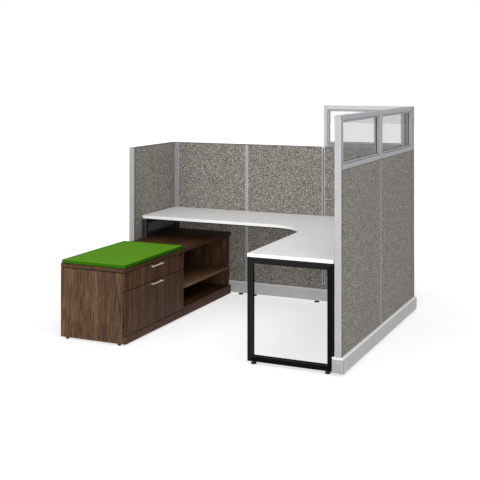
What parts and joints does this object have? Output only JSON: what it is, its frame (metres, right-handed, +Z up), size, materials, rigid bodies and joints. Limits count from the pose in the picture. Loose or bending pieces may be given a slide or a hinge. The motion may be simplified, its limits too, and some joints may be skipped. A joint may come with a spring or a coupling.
{
  "type": "cubicle workstation",
  "caption": "Panel-walled office cubicle with glass-topped tall walls, an L-shaped corner desk on loop and riser legs, and a low drawer credenza with a seat pad.",
  "frame": {"origin": "centre of the whole object's plan box, on the floor", "axes": "+Z up, +X to the user's right along the back wall, +Y towards the back wall; the open side faces -Y"},
  "size_m": [2.273, 1.919, 1.678],
  "materials": {
    "fabric_grey": "woven grey tweed panel fabric",
    "silver_paint": "satin silver powder coat",
    "frame_steel": "silver grey powder coat",
    "core_fibre": "pressed acoustic fibre board",
    "clear_glass": "clear tempered glass",
    "white_laminate": "white laminate with a flat white edge",
    "black_steel": "satin black powder coat",
    "black_plastic": "moulded black nylon",
    "zinc_steel": "bright zinc plate",
    "walnut_laminate": "dark walnut laminate, fine straight grain",
    "birch_board": "clear lacquered birch board",
    "nickel_satin": "satin nickel",
    "green_cover": "green coated upholstery"
  },
  "bodies": {
    "root": {"left_frame": "frame_steel", "back_left_frame": "frame_steel", "back_middle_frame": "frame_steel", "back_right_frame": "frame_steel", "right_rear_frame": "frame_steel", "right_front_frame": "frame_steel", "panel_cores": "core_fibre", "left_tile": "fabric_grey", "back_left_tile": "fabric_grey", "back_middle_tile": "fabric_grey", "back_right_tile": "fabric_grey", "right_rear_tile": "fabric_grey", "right_front_tile": "fabric_grey", "left_outer_tile": "fabric_grey", "back_outer_tiles": "fabric_grey", "right_outer_tiles": "fabric_grey", "back_glass_frame": "silver_paint", "right_rear_glass_frame": "silver_paint", "right_front_glass_frame": "silver_paint", "glass_panes": "clear_glass", "low_corner_post": "silver_paint", "tall_corner_post": "silver_paint", "left_end_trim": "silver_paint", "right_end_trim": "silver_paint", "top_caps": "silver_paint", "inner_base_covers": "silver_paint", "outer_base_covers": "silver_paint", "base_end_caps": "silver_paint", "panel_glides": "black_plastic", "straight_worksurface": "white_laminate", "corner_worksurface": "white_laminate", "loop_leg": "black_steel", "loop_leg_feet": "black_plastic", "riser_leg": "black_steel", "worksurface_brackets": "zinc_steel", "joining_plates": "zinc_steel", "worksurface_screws": "zinc_steel", "credenza_top": "walnut_laminate", "front_end_panel": "walnut_laminate", "rear_end_panel": "walnut_laminate", "centre_partition": "walnut_laminate", "credenza_back": "walnut_laminate", "credenza_deck": "walnut_laminate", "plinth": "walnut_laminate", "bay_shelf": "walnut_laminate", "cabinet_slide_members": "zinc_steel", "credenza_feet": "black_plastic", "seat_pad": "green_cover"},
    "upper_drawer": {"upper_drawer_front": "walnut_laminate", "upper_drawer_box": "birch_board", "upper_drawer_slides": "zinc_steel", "upper_pull": "nickel_satin", "lock_barrel": "nickel_satin"},
    "lower_drawer": {"lower_drawer_front": "walnut_laminate", "lower_drawer_box": "birch_board", "lower_drawer_slides": "zinc_steel", "lower_pull": "nickel_satin"},
    "upper_middle_slide": {"upper_middle_slides": "zinc_steel"},
    "lower_middle_slide": {"lower_middle_slides": "zinc_steel"},
    "lock": {"lock_plug": "black_plastic"}
  },
  "joints": [
    {"name": "upper_drawer_slide", "type": "slide", "parent": "root", "child": "upper_drawer", "axis": [1, 0, 0], "range_m": [0, 0.43]},
    {"name": "lower_drawer_slide", "type": "slide", "parent": "root", "child": "lower_drawer", "axis": [1, 0, 0], "range_m": [0, 0.43]},
    {"name": "upper_middle_travel", "type": "slide", "parent": "root", "child": "upper_middle_slide", "axis": [1, 0, 0], "range_m": [0, 0.215]},
    {"name": "lower_middle_travel", "type": "slide", "parent": "root", "child": "lower_middle_slide", "axis": [1, 0, 0], "range_m": [0, 0.215]},
    {"name": "lock_turn", "type": "hinge", "parent": "upper_drawer", "child": "lock", "pos_m": [-0.525, -0.061, 0.503], "axis": [-1, 0, 0], "range_deg": [0, 90]}
  ],
  "couplings": [
    {"joint": "upper_middle_travel", "follows": "upper_drawer_slide", "ratio": 0.5},
    {"joint": "lower_middle_travel", "follows": "lower_drawer_slide", "ratio": 0.5}
  ]
}
